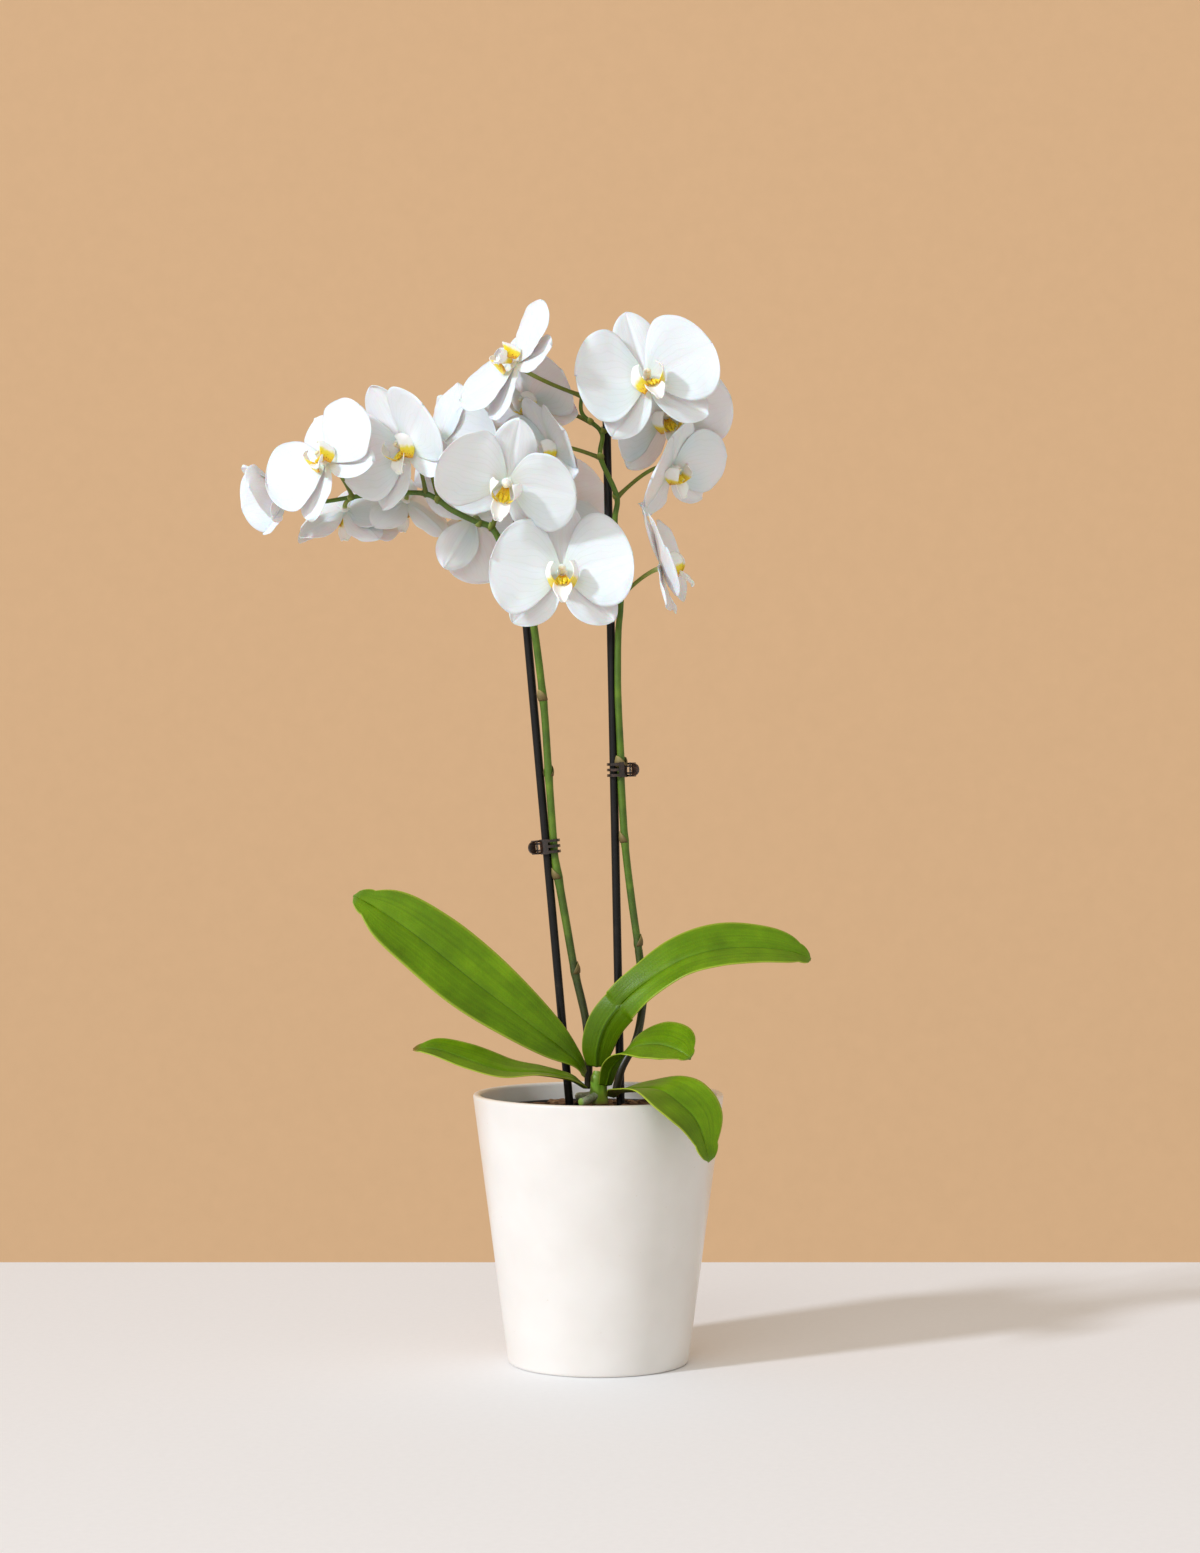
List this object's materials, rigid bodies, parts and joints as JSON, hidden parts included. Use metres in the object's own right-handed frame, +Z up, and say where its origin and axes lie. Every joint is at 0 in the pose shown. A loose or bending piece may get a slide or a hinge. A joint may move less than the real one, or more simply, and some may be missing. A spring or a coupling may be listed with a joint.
{
  "type": "potted orchid",
  "caption": "Potted moth orchid: white blooms on two flower spikes clipped to dark stakes, above glossy leaves in a tapered white glazed pot.",
  "frame": {"origin": "centre of the ceramic pot's underside, on the pot's axis", "axes": "+Z up along the pot's axis; the plant's display side faces -Y; +X to the viewer's right"},
  "size_m": [0.3436, 0.1664, 0.6305],
  "materials": {
    "white_glaze": "smooth satin-gloss white glaze",
    "black_plastic": "thin thermoformed plastic",
    "pine_bark": "rough chipped bark",
    "crown_green": "smooth living stem and grey-green roots",
    "leaf_green": "glossy waxy leaf",
    "stem_green": "smooth green stem with brown nodes",
    "dark_stake_coating": "dark coated rod",
    "dark_clip_plastic": "moulded dark brown plastic",
    "pin_steel": "bare steel wire",
    "petal_white": "matt white petal with a fine sheen",
    "lip_yellow": "white lip with yellow edges and red-brown spots"
  },
  "bodies": {
    "root": {"ceramic_pot": "white_glaze", "nursery_pot": "black_plastic", "potting_bark": "pine_bark", "crown": "crown_green", "leaf_upper_left": "leaf_green", "leaf_lower_left": "leaf_green", "leaf_upper_right": "leaf_green", "leaf_middle_right": "leaf_green", "leaf_front_right": "leaf_green", "spike_left": "stem_green", "spike_right": "stem_green", "stake_left": "dark_stake_coating", "stake_right": "dark_stake_coating", "clip_left_back_jaw": "dark_clip_plastic", "clip_left_pin": "pin_steel", "clip_left_spring": "pin_steel", "clip_right_back_jaw": "dark_clip_plastic", "clip_right_pin": "pin_steel", "clip_right_spring": "pin_steel", "bloom_left_1": "petal_white", "lip_left_1": "lip_yellow", "bloom_left_2": "petal_white", "lip_left_2": "lip_yellow", "bloom_left_3": "petal_white", "lip_left_3": "lip_yellow", "bloom_left_4": "petal_white", "lip_left_4": "lip_yellow", "bloom_left_5": "petal_white", "lip_left_5": "lip_yellow", "bloom_left_6": "petal_white", "lip_left_6": "lip_yellow", "bloom_left_7": "petal_white", "lip_left_7": "lip_yellow", "bloom_left_8": "petal_white", "lip_left_8": "lip_yellow", "bloom_left_9": "petal_white", "lip_left_9": "lip_yellow", "bloom_left_10": "petal_white", "lip_left_10": "lip_yellow", "bloom_right_1": "petal_white", "lip_right_1": "lip_yellow", "bloom_right_2": "petal_white", "lip_right_2": "lip_yellow", "bloom_right_3": "petal_white", "lip_right_3": "lip_yellow", "bloom_right_4": "petal_white", "lip_right_4": "lip_yellow", "bloom_right_5": "petal_white", "lip_right_5": "lip_yellow", "bloom_right_6": "petal_white", "lip_right_6": "lip_yellow", "bloom_right_7": "petal_white", "lip_right_7": "lip_yellow"},
    "clip_left_jaw": {"clip_left_front_jaw": "dark_clip_plastic"},
    "clip_right_jaw": {"clip_right_front_jaw": "dark_clip_plastic"}
  },
  "joints": [
    {"name": "clip_left_hinge", "type": "hinge", "parent": "root", "child": "clip_left_jaw", "pos_m": [-0.03681, 0.00518, 0.3083], "axis": [0.0895, 0, -0.996], "range_deg": [0, 30], "stiffness_Nm_per_rad": 0.01, "springref_deg": -11.46},
    {"name": "clip_right_hinge", "type": "hinge", "parent": "root", "child": "clip_right_jaw", "pos_m": [0.01916, 0.0033, 0.35516], "axis": [-0.0207, 0, 0.9998], "range_deg": [0, 30], "stiffness_Nm_per_rad": 0.01, "springref_deg": -11.46}
  ]
}
